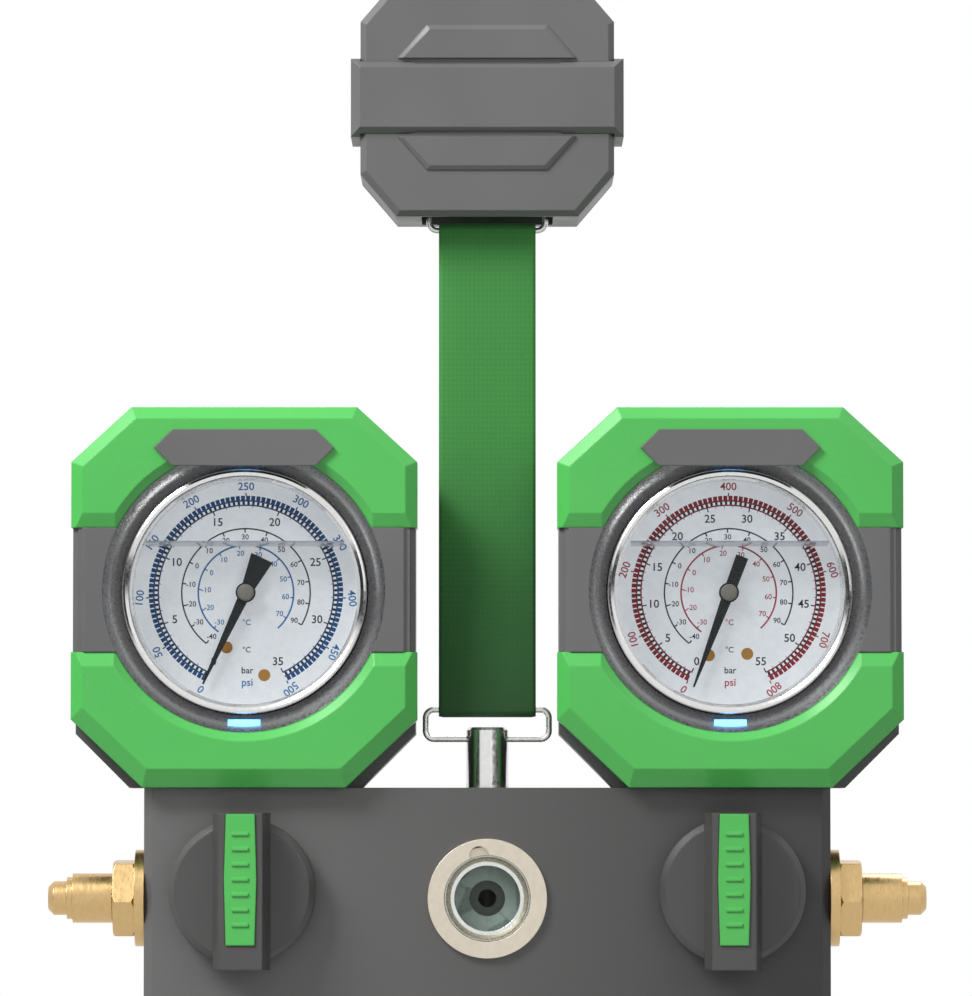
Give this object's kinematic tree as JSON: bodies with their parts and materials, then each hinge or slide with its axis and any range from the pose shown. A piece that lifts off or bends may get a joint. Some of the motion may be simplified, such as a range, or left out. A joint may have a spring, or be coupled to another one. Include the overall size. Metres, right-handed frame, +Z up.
{
  "type": "refrigerant manifold gauge",
  "caption": "Valve block with two guarded dial gauges, sight glass, side knobs and flare ports, hung by a webbing strap from a magnetic hanger.",
  "frame": {"origin": "centre of the hanger's magnet face, which rests on a steel wall or panel", "axes": "+Z up, +X to the right of someone facing the dials, dials face -Y, magnet face looks to +Y"},
  "size_m": [0.2472, 0.0589, 0.3077],
  "materials": {
    "green_plastic": "satin moulded",
    "dark_plastic": "fine-textured moulded",
    "grey_plastic": "fine-textured moulded",
    "knob_plastic": "satin moulded",
    "webbing": "woven polyester webbing",
    "bright_steel": "polished",
    "wire": "bright drawn",
    "reflector": "bright satin",
    "anodised_block": "dark satin anodised",
    "brass": "machined",
    "glass": "clear",
    "dial_white": "printed",
    "pointer_black": "matt",
    "beige_metal": "satin champagne",
    "pale_metal": "machined",
    "white_ring": "matt",
    "led": "diffusing",
    "magnet": "nickel plated",
    "screw": "zinc plated"
  },
  "bodies": {
    "hanger": {"hanger_shell": "dark_plastic", "hanger_band": "dark_plastic", "hanger_back_cover": "dark_plastic", "hanger_magnets": "magnet", "hanger_screws": "screw"},
    "upper_ring": {"upper_ring": "wire"},
    "strap": {"strap": "webbing"},
    "lower_ring": {"lower_ring": "wire"},
    "manifold": {"hanging_post": "bright_steel", "manifold_block": "anodised_block", "sight_glass_bezel": "beige_metal", "sight_glass_seat": "pale_metal", "sight_glass_lens": "glass", "sight_glass_indicator": "white_ring", "left_port_fitting": "brass", "right_port_fitting": "brass", "centre_port_fitting": "brass", "backlight_leds": "led", "badge_plates": "grey_plastic", "housing_screws": "screw", "left_upper_cover": "green_plastic", "left_lower_cover": "green_plastic", "left_front_frame": "grey_plastic", "left_rear_housing": "dark_plastic", "left_reflector": "reflector", "left_gauge_case": "bright_steel", "left_gauge_bezel": "bright_steel", "left_gauge_window": "glass", "left_gauge_dial": "dial_white", "left_gauge_stem": "brass", "left_bourdon_tube": "brass", "left_movement": "brass", "left_valve_bonnet": "brass", "right_upper_cover": "green_plastic", "right_lower_cover": "green_plastic", "right_front_frame": "grey_plastic", "right_rear_housing": "dark_plastic", "right_reflector": "reflector", "right_gauge_case": "bright_steel", "right_gauge_bezel": "bright_steel", "right_gauge_window": "glass", "right_gauge_dial": "dial_white", "right_gauge_stem": "brass", "right_bourdon_tube": "brass", "right_movement": "brass", "right_valve_bonnet": "brass"},
    "left_knob": {"left_valve_knob": "knob_plastic", "left_grip_insert": "green_plastic", "left_valve_spindle": "bright_steel"},
    "left_piston": {"left_valve_piston": "bright_steel"},
    "left_needle": {"left_pointer": "pointer_black"},
    "left_sector": {"left_sector_gear": "brass"},
    "left_cap": {"left_port_cap": "brass"},
    "right_knob": {"right_valve_knob": "knob_plastic", "right_grip_insert": "green_plastic", "right_valve_spindle": "bright_steel"},
    "right_piston": {"right_valve_piston": "bright_steel"},
    "right_needle": {"right_pointer": "pointer_black"},
    "right_sector": {"right_sector_gear": "brass"},
    "right_cap": {"right_port_cap": "brass"}
  },
  "joints": [
    {"name": "upper_ring_swing", "type": "hinge", "parent": "hanger", "child": "upper_ring", "pos_m": [0, -0.0222, -0.0283], "axis": [1, 0, 0], "range_deg": [-30, 30]},
    {"name": "strap_swing", "type": "hinge", "parent": "upper_ring", "child": "strap", "pos_m": [0, -0.0222, -0.0366], "axis": [1, 0, 0], "range_deg": [-30, 30]},
    {"name": "lower_ring_swing", "type": "hinge", "parent": "strap", "child": "lower_ring", "pos_m": [0, -0.0222, -0.1724], "axis": [1, 0, 0], "range_deg": [-30, 30]},
    {"name": "manifold_swing", "type": "hinge", "parent": "lower_ring", "child": "manifold", "pos_m": [0, -0.0222, -0.1807], "axis": [1, 0, 0], "range_deg": [-30, 30]},
    {"name": "left_valve_turn", "type": "hinge", "parent": "manifold", "child": "left_knob", "pos_m": [-0.0684, -0.038, -0.2234], "axis": [0, -1, 0], "range_deg": [0, 540]},
    {"name": "left_piston_travel", "type": "slide", "parent": "manifold", "child": "left_piston", "axis": [0, -1, 0], "range_m": [0, 0.00225]},
    {"name": "left_pointer_turn", "type": "hinge", "parent": "manifold", "child": "left_needle", "pos_m": [-0.068, -0.024, -0.1396], "axis": [0, 1, 0], "range_deg": [0, 300]},
    {"name": "left_sector_turn", "type": "hinge", "parent": "manifold", "child": "left_sector", "pos_m": [-0.0518, -0.024, -0.1396], "axis": [0, 1, 0], "range_deg": [-37.51, 0]},
    {"name": "left_cap_off", "type": "slide", "parent": "manifold", "child": "left_cap", "axis": [-1, 0, 0], "range_m": [0, 0.015]},
    {"name": "right_valve_turn", "type": "hinge", "parent": "manifold", "child": "right_knob", "pos_m": [0.0684, -0.038, -0.2234], "axis": [0, -1, 0], "range_deg": [0, 540]},
    {"name": "right_piston_travel", "type": "slide", "parent": "manifold", "child": "right_piston", "axis": [0, -1, 0], "range_m": [0, 0.00225]},
    {"name": "right_pointer_turn", "type": "hinge", "parent": "manifold", "child": "right_needle", "pos_m": [0.068, -0.024, -0.1396], "axis": [0, 1, 0], "range_deg": [0, 300]},
    {"name": "right_sector_turn", "type": "hinge", "parent": "manifold", "child": "right_sector", "pos_m": [0.0842, -0.024, -0.1396], "axis": [0, 1, 0], "range_deg": [-37.51, 0]},
    {"name": "right_cap_off", "type": "slide", "parent": "manifold", "child": "right_cap", "axis": [1, 0, 0], "range_m": [0, 0.015]}
  ],
  "couplings": [
    {"joint": "left_piston_travel", "follows": "left_valve_turn", "m_per_rad": 0.00023873},
    {"joint": "left_sector_turn", "follows": "left_pointer_turn", "ratio": -0.125},
    {"joint": "right_piston_travel", "follows": "right_valve_turn", "m_per_rad": 0.00023873},
    {"joint": "right_sector_turn", "follows": "right_pointer_turn", "ratio": -0.125}
  ]
}
